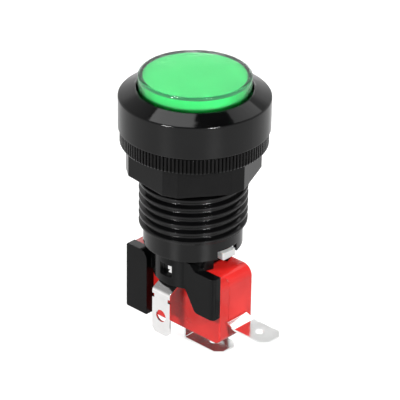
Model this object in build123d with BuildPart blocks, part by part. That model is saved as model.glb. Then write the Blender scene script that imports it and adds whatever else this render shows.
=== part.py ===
"""Illuminated arcade push button: a snap-in lamp holder and a side-mounted microswitch under a panel nut.

Frame: the origin lies on the barrel's axis, in the plane where the bezel seats on the panel.
+Z points out of the panel to the cap, +X runs along the switch to its end terminal, and -Y is
the side that carries the lamp holder's two plates. All sizes are in millimetres.
"""
import os
from math import cos, radians, sin, tan

from build123d import *

os.makedirs("parts", exist_ok=True)

# Clearances shared by mating pieces
running_gap = 0.08
loose_gap = 0.15
seat_gap = 0.05

# Bezel and threaded barrel, one moulding
bezel_radius = 16.4
bezel_wall_height = 7.2
bezel_rim_height = 8.9
bezel_lip_width = 0.35
bezel_edge_round = 0.45
well_radius = 12.5
well_floor_height = 1.2
core_pocket_count = 8
core_roof = 2.2
core_inner_wall = 0.8
core_outer_wall = 1.4
core_rib_angle = 5.0
thread_radius = 11.87
thread_pitch = 2.0
thread_depth = 0.92
thread_crest_width = 0.5
thread_crest_bevel = 0.12
thread_flank_angle = 30.0
thread_runout = 2.2
groove_overcut = 0.3
spigot_length = 1.8
thread_length = 22.9
barrel_length = 27.6
neck_step = 0.97
neck_wall = 1.0
guide_bore_ledge = 0.5
guide_bore_depth = 14.0
notch_height = 1.9
notch_width = 5.75
notch_turn = -2.3

# Panel nut: knurled flange above a hexagon with cut corners
nut_top_gap = 0.2
nut_hex_wall = 2.65
nut_flange_step = 1.4
nut_flange_thickness = 3.8
nut_tooth_count = 120
nut_tooth_depth = 0.42
nut_tooth_land_share = 0.27
nut_tooth_root_share = 0.42
nut_flange_round = 0.7
nut_flange_bevel = 0.21
nut_hex_height = 6.3
nut_hex_turn = -7.0
nut_corner_facet_angle = 13.6
nut_bore_chamfer = 0.4

# Cap and diffuser
cap_gap = 0.35
cap_stand = 3.18
cap_top_thickness = 1.0
cap_wall = 0.95
cap_bottom_gap = 0.4
cap_edge_round = 0.45
snap_count = 4
snap_start_angle = 45.0
snap_width = 2.6
snap_height = 1.0
snap_land = 0.3
snap_reach = 0.7
diffuser_thickness = 1.0
diffuser_skirt_wall = 1.0
diffuser_skirt_depth = 1.9
diffuser_edge_round = 0.2
diffuser_rebate = 0.4

# Plunger
button_travel = 2.0
spring_room = 2.7
cup_floor = 1.0
cup_height = 2.3
cup_wall = 1.2
tube_wall = 1.35
finger_length = 5.0
finger_angle = 44.0
hook_thickness = 1.25
hook_land = 0.38
hook_point_step = 0.3
leg_width = 3.8
foot_rise = 1.0
foot_thickness = 1.6
foot_lip = 0.9
foot_corner = 0.15

# Return spring round the plunger
spring_wire_radius = 0.35
spring_turns = 3.25
spring_clearance = 0.2

# Microswitch body
switch_drop = 3.8
switch_length = 27.8
switch_height = 15.9
switch_thickness = 10.3
switch_wall = 1.2
switch_top_wall = 1.5
switch_cover_depth = 2.85
switch_large_round = 2.6
switch_small_round = 1.5
switch_edge_round = 0.3
parting_bevel = 0.08
ejector_mark_radius = 0.6
ejector_mark_depth = 0.08
ejector_mark_offset = 3.05
ejector_mark_rise = 2.5
hole_inset = 2.8
hole_radius = 1.55
boss_radius = 2.55
pin_inset = 5.45
pin_radius = 1.45
pin_stand = 2.35
pin_collar_radius = 2.2
pin_collar_thickness = 1.0
pin_stem_radius = 1.0
pin_head_chamfer = 0.4
pin_stem_chamfer = 0.3

# Switch terminals
strip_thickness = 0.5
strip_bend_radius = 0.5
strip_fold_radius = 0.3
tab_width = 6.3
inner_strip_width = 4.8
tab_hole_radius = 0.95
tab_tip_chamfer = 1.4
end_root_drop = 1.95
end_tab_joggle = 0.85
end_tab_joggle_start = 0.2
end_tab_joggle_end = 2.5
end_tab_reach = 11.25
end_tab_hole_reach = 6.95
bottom_tab_offset_x = 1.7
bottom_tab_drop = 4.0
bottom_tab_length = 10.35
bottom_tab_hole_reach = 5.9
post_width = 2.0
post_offset_x = 7.15

# Snap blade and contacts
blade_drop = 3.5
blade_thickness = 0.2
blade_width = 4.6
blade_root_inset = 1.85
blade_tip_overhang = 1.4
tongue_width = 1.66
tongue_slot_width = 2.32
tongue_length = 8.8
tongue_sag = 1.7
tongue_drop = 2.3
contact_inset = 4.55
contact_radius = 1.3
contact_thickness = 0.7
contact_edge_round = 0.3
contact_gap = 0.95
rivet_radius = 0.6
rivet_head_radius = 0.9
rivet_head_height = 0.35

# Lamp
lamp_base_length = 9.4
lamp_base_width = 4.7
lamp_base_chamfer = 0.5
lamp_collar_radius = 5.2
lamp_collar_thickness = 1.6
led_radius = 2.5
led_flange_radius = 2.9
led_flange_thickness = 1.0
led_body_length = 5.0
lead_radius = 0.25
lead_length = 7.5

# Lamp holder: heights are taken from the barrel's end and from the switch's top
holder_insert = 9.4
column_inset = 1.3
column_shoulder_rise = 1.2
cheek_drop = 4.1
bridge_gap = 0.3
socket_floor_rise = 2.0
window_width = 3.4
window_top_rise = 0.7
window_bottom_drop = 2.2
bayonet_angle = 14.0
bayonet_reach = 0.5
bayonet_drop = 2.5
bayonet_height = 1.4
bayonet_turn = 30.0
bayonet_play_angle = 2.0
plate_thickness = 2.25
right_plate_peak_rise = 2.6
right_plate_top_rise = 1.2
right_plate_bottom_drop = 8.9
right_plate_peak_inset = 7.1
right_plate_shoulder_inset = 5.65
right_plate_heel_inset = 5.33
right_plate_root_inset = 8.25
right_plate_heel_round = 1.3
right_plate_edge_round = 1.0
left_plate_inset = 1.75
left_plate_width = 6.15
left_plate_top_rise = 0.5
left_plate_bottom_rise = 0.55
left_plate_large_round = 2.2
left_plate_small_round = 0.4
left_plate_web_width = 1.75
left_plate_web_depth = 0.75
peg_head_reach = 0.43
peg_head_length = 1.0
peg_head_taper = 25.0
peg_slit = 0.6
peg_slit_depth = 7.2

# Lamp contact, cut and bent from one strip
contact_stand_off = 1.8
contact_side_gap = 0.25
contact_outer_gap = 0.1
contact_inner_gap = 0.3
contact_bend_radius = 0.6
finger_tip_rise = 1.8
finger_press_rise = 4.2
finger_tip_flare = 0.9
finger_lean = 1.6
finger_crown_drop = 1.9
finger_lean_drop = 3.4
barb_reach = 0.75
barb_width = 1.4
barb_lean = 0.15
barb_end_gap = 0.4
lug_width = 5.2
lug_sweep = 2.75
lug_bend_drop = 1.75
lug_length = 10.5
lug_notch_depth = 0.6
lug_notch_start = 1.0
lug_notch_end = 1.95
lug_hole_radius = 1.45
lug_hole_drop = 5.9
lug_chamfer = 0.9

# Places of the barrel, the nut and the moving pieces
neck_radius = thread_radius - neck_step
holder_bore_radius = neck_radius - neck_wall
guide_bore_radius = holder_bore_radius - guide_bore_ledge
core_pocket_inner_radius = well_radius + core_inner_wall
core_pocket_outer_radius = bezel_radius - core_outer_wall
core_pocket_depth = bezel_wall_height - core_roof
nut_bore_radius = thread_radius + running_gap
nut_hex_corner_radius = nut_bore_radius + nut_hex_wall
nut_flange_radius = nut_hex_corner_radius + nut_flange_step
nut_flange_bottom = -nut_top_gap - nut_flange_thickness
nut_bottom = nut_flange_bottom - nut_hex_height
cap_radius = well_radius - cap_gap
cap_inner_radius = cap_radius - cap_wall
cap_top_height = bezel_rim_height + cap_stand
cap_skirt_height = well_floor_height + button_travel + cap_bottom_gap
cup_radius = cap_inner_radius - loose_gap - seat_gap
cup_bottom_height = well_floor_height + button_travel + spring_room
cup_rim_height = cup_bottom_height + cup_height
diffuser_top_height = cap_top_height - cap_top_thickness - running_gap
tube_radius = guide_bore_radius - loose_gap
tube_bore_radius = tube_radius - tube_wall
slit_height = finger_length - guide_bore_depth
hook_radius = holder_bore_radius - loose_gap
hook_top_height = -guide_bore_depth - seat_gap
foot_top_height = foot_rise - barrel_length
foot_bottom_height = foot_top_height - foot_thickness
foot_outer_reach = neck_radius - seat_gap
foot_inner_reach = tube_bore_radius - foot_lip

# Places of the switch
pin_x = pin_radius + 2 * seat_gap - foot_outer_reach
switch_left_x = pin_x - pin_inset
switch_right_x = switch_left_x + switch_length
switch_centre_x = (switch_left_x + switch_right_x) / 2
switch_top_height = -barrel_length - switch_drop
switch_bottom_height = switch_top_height - switch_height
switch_middle_height = switch_top_height - switch_height / 2
switch_front_y = -switch_thickness / 2
parting_y = switch_front_y + switch_cover_depth
ceiling_height = switch_top_height - switch_top_wall
floor_height = switch_bottom_height + switch_wall
pin_top_height = switch_top_height + pin_stand
upper_hole = (switch_right_x - hole_inset, switch_top_height - hole_inset)
lower_hole = (switch_left_x + hole_inset, switch_bottom_height + hole_inset)
bottom_tab_x = switch_centre_x + bottom_tab_offset_x
bottom_tab_height = switch_bottom_height - bottom_tab_drop
slot_width = tab_width + 2 * seat_gap
slot_thickness = strip_thickness + 2 * seat_gap
blade_height = upper_hole[1] - blade_drop
blade_top = blade_height + blade_thickness / 2
blade_bottom = blade_height - blade_thickness / 2
blade_root_x = switch_left_x + blade_root_inset
contact_x = switch_right_x - contact_inset
blade_tip_x = contact_x + blade_tip_overhang
post_x = lower_hole[0] + post_offset_x
tongue_root_x = post_x + tongue_length
tongue_tip_height = blade_height - tongue_drop
fixed_contact_top = blade_bottom - contact_thickness - contact_gap
fixed_contact_bottom = fixed_contact_top - contact_thickness
fixed_strip_height = fixed_contact_bottom - strip_thickness / 2
end_root_height = fixed_strip_height - end_root_drop
end_tab_height = end_root_height - end_tab_joggle

# Places of the lamp holder, the lamp and its contacts
holder_core_radius = holder_bore_radius - running_gap
holder_top_height = holder_insert - barrel_length
column_radius = holder_bore_radius - column_inset
column_shoulder_height = column_shoulder_rise - barrel_length
cheek_bottom_height = switch_top_height - cheek_drop
bridge_bottom_height = switch_top_height + bridge_gap
leg_slot_inner = foot_inner_reach - 2 * loose_gap
leg_slot_width = leg_width + 4 * loose_gap
socket_length = lamp_base_length + 2 * loose_gap
socket_width = lamp_base_width + 2 * loose_gap
socket_floor_height = switch_top_height + socket_floor_rise
window_top_height = switch_top_height + window_top_rise
window_bottom_height = switch_top_height - window_bottom_drop
bayonet_top_height = holder_top_height - bayonet_drop
plate_outer_y = switch_front_y - plate_thickness
left_plate_left_x = switch_left_x + left_plate_inset
left_plate_right_x = left_plate_left_x + left_plate_width
left_plate_top_height = switch_top_height + left_plate_top_rise
left_plate_bottom_height = switch_bottom_height + left_plate_bottom_rise
lamp_base_bottom = socket_floor_height + loose_gap
collar_bottom = holder_top_height + running_gap
led_bottom = collar_bottom + lamp_collar_thickness
contact_strip_y = switch_front_y - contact_stand_off
contact_channel_width = lug_width + 2 * contact_side_gap
contact_channel_outer = strip_thickness / 2 + contact_outer_gap - contact_strip_y
contact_slot_inner = -contact_strip_y - strip_thickness / 2 - contact_inner_gap
lug_y = contact_strip_y - lug_sweep
lug_bend_height = cheek_bottom_height - lug_bend_drop
lug_bottom_height = lug_bend_height - lug_length


# Housing
with BuildPart() as housing:
    with BuildSketch(Plane.XZ):
        with BuildLine():
            Polyline(
                (guide_bore_radius, well_floor_height),
                (well_radius, well_floor_height),
                (well_radius, bezel_rim_height),
                (well_radius + bezel_lip_width, bezel_rim_height),
                (bezel_radius, bezel_wall_height),
                (bezel_radius, 0),
                (thread_radius, 0),
                (thread_radius, -thread_length),
                (neck_radius, -thread_length - (thread_radius - neck_radius) / 2),
                (neck_radius, -barrel_length),
                (holder_bore_radius, -barrel_length),
                (holder_bore_radius, -guide_bore_depth),
                (guide_bore_radius, -guide_bore_depth),
                close=True,
            )
        make_face()
    revolve(axis=Axis.Z)
    wall_top_edge = housing.edges().filter_by(GeomType.CIRCLE).sort_by(
        lambda edge: abs(edge.radius - bezel_radius) + abs(edge.center().Z - bezel_wall_height)
    )[0]
    fillet(wall_top_edge, bezel_edge_round)

    # The underside of the bezel is cored out between ribs, as a thick moulding is
    pocket_angle = 360 / core_pocket_count - core_rib_angle
    for turn in range(core_pocket_count):
        with BuildSketch(Plane.XZ.rotated((0, 0, turn * 360 / core_pocket_count))):
            with Locations(((core_pocket_inner_radius + core_pocket_outer_radius) / 2, core_pocket_depth / 2)):
                Rectangle(core_pocket_outer_radius - core_pocket_inner_radius, core_pocket_depth)
        revolve(axis=Axis.Z, revolution_arc=pocket_angle, mode=Mode.SUBTRACT)

    # Two notches in the barrel's end let the plunger's feet through
    with BuildSketch(Plane.XY.offset(-barrel_length)):
        Rectangle(3 * thread_radius, notch_width, rotation=notch_turn)
    extrude(amount=notch_height, mode=Mode.SUBTRACT)

    # L-shaped bayonet grooves: a way in from below, then a turn to the lock
    groove_radius = holder_core_radius + bayonet_reach + running_gap
    entry_angle = bayonet_angle + 2 * bayonet_play_angle
    for side in (0, 180):
        start = side + 90 - bayonet_angle / 2 - bayonet_turn - bayonet_play_angle
        with BuildSketch(Plane.XZ.rotated((0, 0, start))):
            with Locations(((groove_radius + guide_bore_radius) / 2, (bayonet_top_height - barrel_length) / 2)):
                Rectangle(groove_radius - guide_bore_radius, barrel_length + bayonet_top_height)
        revolve(axis=Axis.Z, revolution_arc=entry_angle, mode=Mode.SUBTRACT)
        with BuildSketch(Plane.XZ.rotated((0, 0, start))):
            with Locations(((groove_radius + guide_bore_radius) / 2, bayonet_top_height - bayonet_height / 2)):
                Rectangle(groove_radius - guide_bore_radius, bayonet_height + 2 * loose_gap)
        revolve(axis=Axis.Z, revolution_arc=bayonet_turn + entry_angle, mode=Mode.SUBTRACT)

    # Right-hand thread, cut as one helical groove that runs out over the end step
    groove_start = -thread_length - thread_runout
    groove_half_width = (thread_pitch - thread_crest_width) / 2
    flank_slope = tan(radians(thread_flank_angle))
    root_half_width = groove_half_width - thread_depth * flank_slope
    bevel_half_width = groove_half_width - thread_crest_bevel * flank_slope
    cutter_half_width = groove_half_width + groove_overcut
    with BuildLine() as groove_path:
        Helix(
            pitch=thread_pitch,
            height=-spigot_length - groove_half_width - groove_start,
            radius=thread_radius,
            center=(0, 0, groove_start),
        )
    with BuildSketch(Plane(groove_path.line @ 0, x_dir=(1, 0, 0), z_dir=groove_path.line % 0)):
        with BuildLine():
            Polyline(
                (-thread_depth, -root_half_width),
                (-thread_crest_bevel, -bevel_half_width),
                (groove_overcut, -cutter_half_width),
                (groove_overcut, cutter_half_width),
                (-thread_crest_bevel, bevel_half_width),
                (-thread_depth, root_half_width),
                close=True,
            )
        make_face()
    sweep(is_frenet=True, mode=Mode.SUBTRACT)
housing.part.label = "housing"
export_step(housing.part, "parts/housing.step")


# Panel nut
with BuildPart() as nut:
    tooth_step = 360 / nut_tooth_count
    outline = []
    for tooth in range(nut_tooth_count):
        for share, radius in (
            (-nut_tooth_land_share, nut_flange_radius),
            (nut_tooth_land_share, nut_flange_radius),
            (nut_tooth_root_share, nut_flange_radius - nut_tooth_depth),
            (1 - nut_tooth_root_share, nut_flange_radius - nut_tooth_depth),
        ):
            angle = radians((tooth + share) * tooth_step)
            outline.append((radius * cos(angle), radius * sin(angle)))
    with BuildSketch(Plane.XY.offset(nut_flange_bottom)):
        with BuildLine():
            Polyline(*outline, close=True)
        make_face()
    extrude(amount=nut_flange_thickness)
    # A turned envelope rounds the teeth's lower ends
    with BuildSketch(Plane.XZ):
        with BuildLine():
            Polyline(
                (0, nut_flange_bottom),
                (nut_flange_radius - nut_flange_round, nut_flange_bottom),
                (nut_flange_radius - nut_flange_bevel, nut_flange_bottom + nut_flange_bevel),
                (nut_flange_radius + running_gap, nut_flange_bottom + nut_flange_round),
                (nut_flange_radius + running_gap, -nut_top_gap - nut_flange_bevel),
                (nut_flange_radius - nut_flange_bevel, -nut_top_gap),
                (0, -nut_top_gap),
                close=True,
            )
        make_face()
    revolve(axis=Axis.Z, mode=Mode.INTERSECT)
    corners = []
    for corner in range(6):
        for side in (-0.5, 0.5):
            angle = radians(nut_hex_turn + 60 * corner + side * nut_corner_facet_angle)
            corners.append((nut_hex_corner_radius * cos(angle), nut_hex_corner_radius * sin(angle)))
    with BuildSketch(Plane.XY.offset(nut_bottom)):
        with BuildLine():
            Polyline(*corners, close=True)
        make_face()
    extrude(amount=nut_hex_height)
    with BuildSketch(Plane.XY.offset(nut_bottom)):
        Circle(nut_bore_radius)
    extrude(amount=nut_hex_height + nut_flange_thickness, mode=Mode.SUBTRACT)
    bore_mouths = nut.edges().filter_by(GeomType.CIRCLE).filter_by(
        lambda edge: abs(edge.radius - nut_bore_radius) < 0.001
    )
    chamfer(bore_mouths, nut_bore_chamfer)
nut.part.label = "nut"
export_step(nut.part, "parts/nut.step")


# Cap: clear top and skirt, with four snap windows
with BuildPart() as cap:
    with BuildSketch(Plane.XZ):
        with BuildLine():
            Polyline(
                (0, cap_top_height),
                (cap_radius, cap_top_height),
                (cap_radius, cap_skirt_height),
                (cap_inner_radius, cap_skirt_height),
                (cap_inner_radius, cap_top_height - cap_top_thickness),
                (0, cap_top_height - cap_top_thickness),
                close=True,
            )
        make_face()
    revolve(axis=Axis.Z)
    fillet(cap.edges().filter_by(GeomType.CIRCLE).group_by(Axis.Z)[-1], cap_edge_round)
    window_bottom = cup_bottom_height + loose_gap
    with BuildSketch(Plane.XY.offset(window_bottom)):
        with PolarLocations(cap_inner_radius, snap_count, start_angle=snap_start_angle):
            Rectangle(4 * cap_wall, snap_width + 4 * loose_gap)
    extrude(amount=snap_height + 3 * loose_gap, mode=Mode.SUBTRACT)
cap.part.label = "cap"
export_step(cap.part, "parts/cap.step")


# Diffuser under the cap: its skirt is rebated where it stands on the cup
with BuildPart() as diffuser:
    rebate_height = diffuser_top_height - diffuser_skirt_depth
    with BuildSketch(Plane.XZ):
        with BuildLine():
            Polyline(
                (0, diffuser_top_height),
                (cup_radius, diffuser_top_height),
                (cup_radius, rebate_height),
                (cup_radius - diffuser_rebate, rebate_height),
                (cup_radius - diffuser_rebate, cup_rim_height),
                (cup_radius - diffuser_skirt_wall, cup_rim_height),
                (cup_radius - diffuser_skirt_wall, diffuser_top_height - diffuser_thickness),
                (0, diffuser_top_height - diffuser_thickness),
                close=True,
            )
        make_face()
    revolve(axis=Axis.Z)
    fillet(diffuser.edges().filter_by(GeomType.CIRCLE).group_by(Axis.Z)[-1], diffuser_edge_round)
diffuser.part.label = "diffuser"
export_step(diffuser.part, "parts/diffuser.step")


# Plunger: cup, guide tube, two retaining fingers and two long legs with feet
with BuildPart() as plunger:
    with BuildSketch(Plane.XZ):
        with BuildLine():
            Polyline(
                (tube_bore_radius, cup_bottom_height + cup_floor),
                (cup_radius - cup_wall, cup_bottom_height + cup_floor),
                (cup_radius - cup_wall, cup_rim_height),
                (cup_radius, cup_rim_height),
                (cup_radius, cup_bottom_height),
                (tube_radius, cup_bottom_height),
                (tube_radius, slit_height),
                (tube_bore_radius, slit_height),
                close=True,
            )
        make_face()
    revolve(axis=Axis.Z)

    # Snap lugs that hold the cap, wedge-shaped so that it pushes on
    for turn in range(snap_count):
        lug_plane = Plane.XZ.rotated((0, 0, snap_start_angle + turn * 360 / snap_count)).offset(-snap_width / 2)
        lug_bottom = cup_bottom_height + 2 * loose_gap
        with BuildSketch(lug_plane):
            with BuildLine():
                Polyline(
                    (cup_radius - cup_wall / 2, lug_bottom),
                    (cup_radius + snap_reach, lug_bottom),
                    (cup_radius + snap_reach, lug_bottom + snap_land),
                    (cup_radius - cup_wall / 2, lug_bottom + snap_height),
                    close=True,
                )
            make_face()
        extrude(amount=snap_width)

    # Long legs down the sides of the lamp holder
    with BuildSketch(Plane.XY.offset(foot_bottom_height)):
        Circle(tube_radius)
        Circle(tube_bore_radius, mode=Mode.SUBTRACT)
        Rectangle(3 * tube_radius, leg_width, mode=Mode.INTERSECT)
    extrude(amount=slit_height - foot_bottom_height)
    foot_length = foot_outer_reach - foot_inner_reach
    foot_middle = (foot_outer_reach + foot_inner_reach) / 2
    with BuildSketch(Plane.XY.offset(foot_bottom_height)) as feet_outline:
        with Locations((foot_middle, 0), (-foot_middle, 0)):
            Rectangle(foot_length, leg_width)
        outer_corners = feet_outline.vertices().filter_by(lambda vertex: abs(vertex.X) > foot_middle)
        chamfer(outer_corners, foot_corner)
    extrude(amount=foot_thickness)
    # The foot over the switch pin carries a short pad
    with BuildSketch(Plane.XY.offset(pin_top_height + seat_gap)):
        with Locations((pin_x, 0)):
            Circle(pin_radius)
    extrude(amount=foot_bottom_height - pin_top_height - seat_gap)

    # Retaining fingers with hooks that catch under the guide bore's ledge
    hook_bottom_height = hook_top_height - hook_thickness
    for side in (90, 270):
        with BuildSketch(Plane.XZ.rotated((0, 0, side - finger_angle / 2))):
            with BuildLine():
                Polyline(
                    (tube_bore_radius, slit_height),
                    (tube_radius, slit_height),
                    (tube_radius, hook_top_height),
                    (hook_radius, hook_top_height),
                    (hook_radius, hook_top_height - hook_land),
                    (tube_radius - hook_point_step, hook_bottom_height),
                    (tube_bore_radius, hook_bottom_height),
                    close=True,
                )
            make_face()
        revolve(axis=Axis.Z, revolution_arc=finger_angle)
plunger.part.label = "plunger"
export_step(plunger.part, "parts/plunger.step")


# Return spring between the well's floor and the plunger's cup
with BuildPart() as return_spring:
    spring_radius = tube_radius + spring_clearance + 2 * spring_wire_radius
    spring_bottom = well_floor_height + spring_wire_radius
    spring_height = cup_bottom_height - well_floor_height - 2 * spring_wire_radius
    with BuildLine() as spring_path:
        Helix(
            pitch=spring_height / spring_turns,
            height=spring_height,
            radius=spring_radius,
            center=(0, 0, spring_bottom),
        )
    with BuildSketch(Plane(spring_path.line @ 0, x_dir=(1, 0, 0), z_dir=spring_path.line % 0)):
        Circle(spring_wire_radius)
    sweep(is_frenet=True)
return_spring.part.label = "return_spring"
export_step(return_spring.part, "parts/return_spring.step")


# Lamp holder: bayonet core, column, two cheeks astride the switch, two plates with pegs
with BuildPart() as lamp_holder:
    with BuildSketch(Plane.XY.offset(column_shoulder_height)):
        Circle(holder_core_radius)
    extrude(amount=holder_top_height - column_shoulder_height)
    with BuildSketch(Plane.XY.offset(cheek_bottom_height)):
        Circle(column_radius)
    extrude(amount=column_shoulder_height - cheek_bottom_height)
    # Bayonet lugs
    for side in (90, 270):
        with BuildSketch(Plane.XZ.rotated((0, 0, side - bayonet_angle / 2))):
            with Locations((holder_core_radius, bayonet_top_height - bayonet_height / 2)):
                Rectangle(2 * bayonet_reach, bayonet_height)
        revolve(axis=Axis.Z, revolution_arc=bayonet_angle)
    # The switch stands between the two cheeks
    with BuildSketch(Plane.XY.offset(cheek_bottom_height)):
        Rectangle(4 * column_radius, switch_thickness)
    extrude(amount=bridge_bottom_height - cheek_bottom_height, mode=Mode.SUBTRACT)
    # Slots for the plunger's legs and feet
    with BuildSketch(Plane.XY.offset(cheek_bottom_height)):
        with Locations((2 * leg_slot_inner, 0), (-2 * leg_slot_inner, 0)):
            Rectangle(2 * leg_slot_inner, leg_slot_width)
    extrude(amount=holder_top_height - cheek_bottom_height, mode=Mode.SUBTRACT)
    # Wedge socket for the lamp
    with BuildSketch(Plane.XY.offset(socket_floor_height)):
        Rectangle(socket_length, socket_width)
        Rectangle(contact_channel_width, 2 * contact_channel_outer)
    extrude(amount=holder_top_height - socket_floor_height, mode=Mode.SUBTRACT)
    # Slots that let the two contact strips down through the cheeks
    slot_middle = (contact_channel_outer + contact_slot_inner) / 2
    with BuildSketch(Plane.XY.offset(cheek_bottom_height)):
        with Locations((0, slot_middle), (0, -slot_middle)):
            Rectangle(contact_channel_width, contact_channel_outer - contact_slot_inner)
    extrude(amount=socket_floor_height - cheek_bottom_height, mode=Mode.SUBTRACT)
    # Window in each cheek for the strip's locking tang
    for side in (1, -1):
        with BuildSketch(Plane.XZ.offset(side * contact_slot_inner)):
            with Locations((0, (window_top_height + window_bottom_height) / 2)):
                Rectangle(window_width, window_top_height - window_bottom_height)
        extrude(amount=side * column_radius, mode=Mode.SUBTRACT)

    # Right plate over the switch's upper hole
    plate_root_x = contact_channel_width / 2 + contact_side_gap
    with BuildSketch(Plane.XZ.offset(-switch_front_y)) as right_plate:
        with BuildLine():
            Polyline(
                (plate_root_x, switch_top_height + right_plate_peak_rise),
                (switch_right_x - right_plate_peak_inset, switch_top_height + right_plate_peak_rise),
                (switch_right_x - right_plate_shoulder_inset, switch_top_height + right_plate_top_rise),
                (switch_right_x, switch_top_height + right_plate_top_rise),
                (switch_right_x, switch_top_height - right_plate_bottom_drop),
                (switch_right_x - right_plate_heel_inset, switch_top_height - right_plate_bottom_drop),
                (switch_right_x - right_plate_root_inset, cheek_bottom_height),
                (plate_root_x, cheek_bottom_height),
                close=True,
            )
        make_face()
        heel = right_plate.vertices().group_by(Axis.Y)[0].sort_by(Axis.X)[0]
        fillet(heel, right_plate_heel_round)
    extrude(amount=switch_front_y - plate_outer_y)
    upright_edges = lamp_holder.edges().filter_by(Axis.Z)
    outer_edge = upright_edges.sort_by(lambda edge: edge.center().X - edge.center().Y)[-1]
    fillet(outer_edge, right_plate_edge_round)

    # Left plate over the switch's lower hole, joined to the cheek by a web
    with BuildSketch(Plane.XZ.offset(-switch_front_y)) as left_plate:
        with Locations(
            (
                (left_plate_left_x + left_plate_right_x) / 2,
                (left_plate_top_height + left_plate_bottom_height) / 2,
            )
        ):
            Rectangle(left_plate_right_x - left_plate_left_x, left_plate_top_height - left_plate_bottom_height)
        inner_top = left_plate.vertices().group_by(Axis.Y)[-1].sort_by(Axis.X)[-1]
        fillet(inner_top, left_plate_large_round)
        fillet(left_plate.vertices().group_by(Axis.X)[0], left_plate_small_round)
    extrude(amount=switch_front_y - plate_outer_y)
    web_height = bridge_bottom_height - cheek_bottom_height
    with BuildSketch(Plane.XZ.offset(-switch_front_y)):
        with Locations((left_plate_right_x + left_plate_web_width / 2, cheek_bottom_height + web_height / 2)):
            Rectangle(left_plate_web_width, web_height)
    extrude(amount=left_plate_web_depth)

    # Split pegs through the switch's two holes, with a barb behind the switch
    peg_radius = hole_radius - running_gap
    peg_head_radius = peg_radius + peg_head_reach
    peg_length = switch_thickness + seat_gap
    for hole in (upper_hole, lower_hole):
        with BuildSketch(Plane.XZ.offset(-switch_front_y)):
            with Locations(hole):
                Circle(peg_radius)
        extrude(amount=-peg_length)
        with BuildSketch(Plane.XZ.offset(-switch_front_y - peg_length)):
            with Locations(hole):
                Circle(peg_head_radius)
        extrude(amount=-peg_head_length, taper=peg_head_taper)
        with BuildSketch(Plane.XZ.offset(-switch_front_y - peg_length - peg_head_length)):
            with Locations(hole):
                Rectangle(peg_slit, 4 * peg_head_radius)
        extrude(amount=peg_slit_depth, mode=Mode.SUBTRACT)
lamp_holder.part.label = "lamp_holder"
export_step(lamp_holder.part, "parts/lamp_holder.step")


# Lamp: wedge base, light-emitting diode and two folded leads
with BuildPart() as lamp_base:
    with BuildSketch(Plane.XY.offset(lamp_base_bottom)):
        Rectangle(lamp_base_length, lamp_base_width)
    extrude(amount=collar_bottom - lamp_base_bottom)
    chamfer(lamp_base.edges().group_by(Axis.Z)[0], lamp_base_chamfer)
    with BuildSketch(Plane.XY.offset(collar_bottom)):
        Circle(lamp_collar_radius)
    extrude(amount=lamp_collar_thickness)
    # Shallow channels keep the leads in place
    with BuildSketch(Plane.XY.offset(lamp_base_bottom)):
        with Locations((0, lamp_base_width / 2), (0, -lamp_base_width / 2)):
            Rectangle(2 * lead_radius + 2 * seat_gap, 2 * lead_radius)
    extrude(amount=lead_length + lead_radius, mode=Mode.SUBTRACT)
lamp_base.part.label = "lamp_base"
export_step(lamp_base.part, "parts/lamp_base.step")

with BuildPart() as led:
    led_dome_centre = led_bottom + led_flange_thickness + led_body_length
    with BuildSketch(Plane.XZ):
        with BuildLine():
            Polyline(
                (0, led_dome_centre + led_radius),
                (0, led_bottom),
                (led_flange_radius, led_bottom),
                (led_flange_radius, led_bottom + led_flange_thickness),
                (led_radius, led_bottom + led_flange_thickness),
                (led_radius, led_dome_centre),
            )
            RadiusArc((led_radius, led_dome_centre), (0, led_dome_centre + led_radius), -led_radius)
        make_face()
    revolve(axis=Axis.Z)
led.part.label = "led"
export_step(led.part, "parts/led.step")

with BuildPart() as lamp_leads:
    for side in (1, -1):
        with BuildSketch(Plane.XY.offset(lamp_base_bottom + lamp_base_chamfer)):
            with Locations((0, side * (lamp_base_width / 2))):
                Circle(lead_radius)
        extrude(amount=lead_length - lamp_base_chamfer)
lamp_leads.part.label = "lamp_leads"
export_step(lamp_leads.part, "parts/lamp_leads.step")


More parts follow.
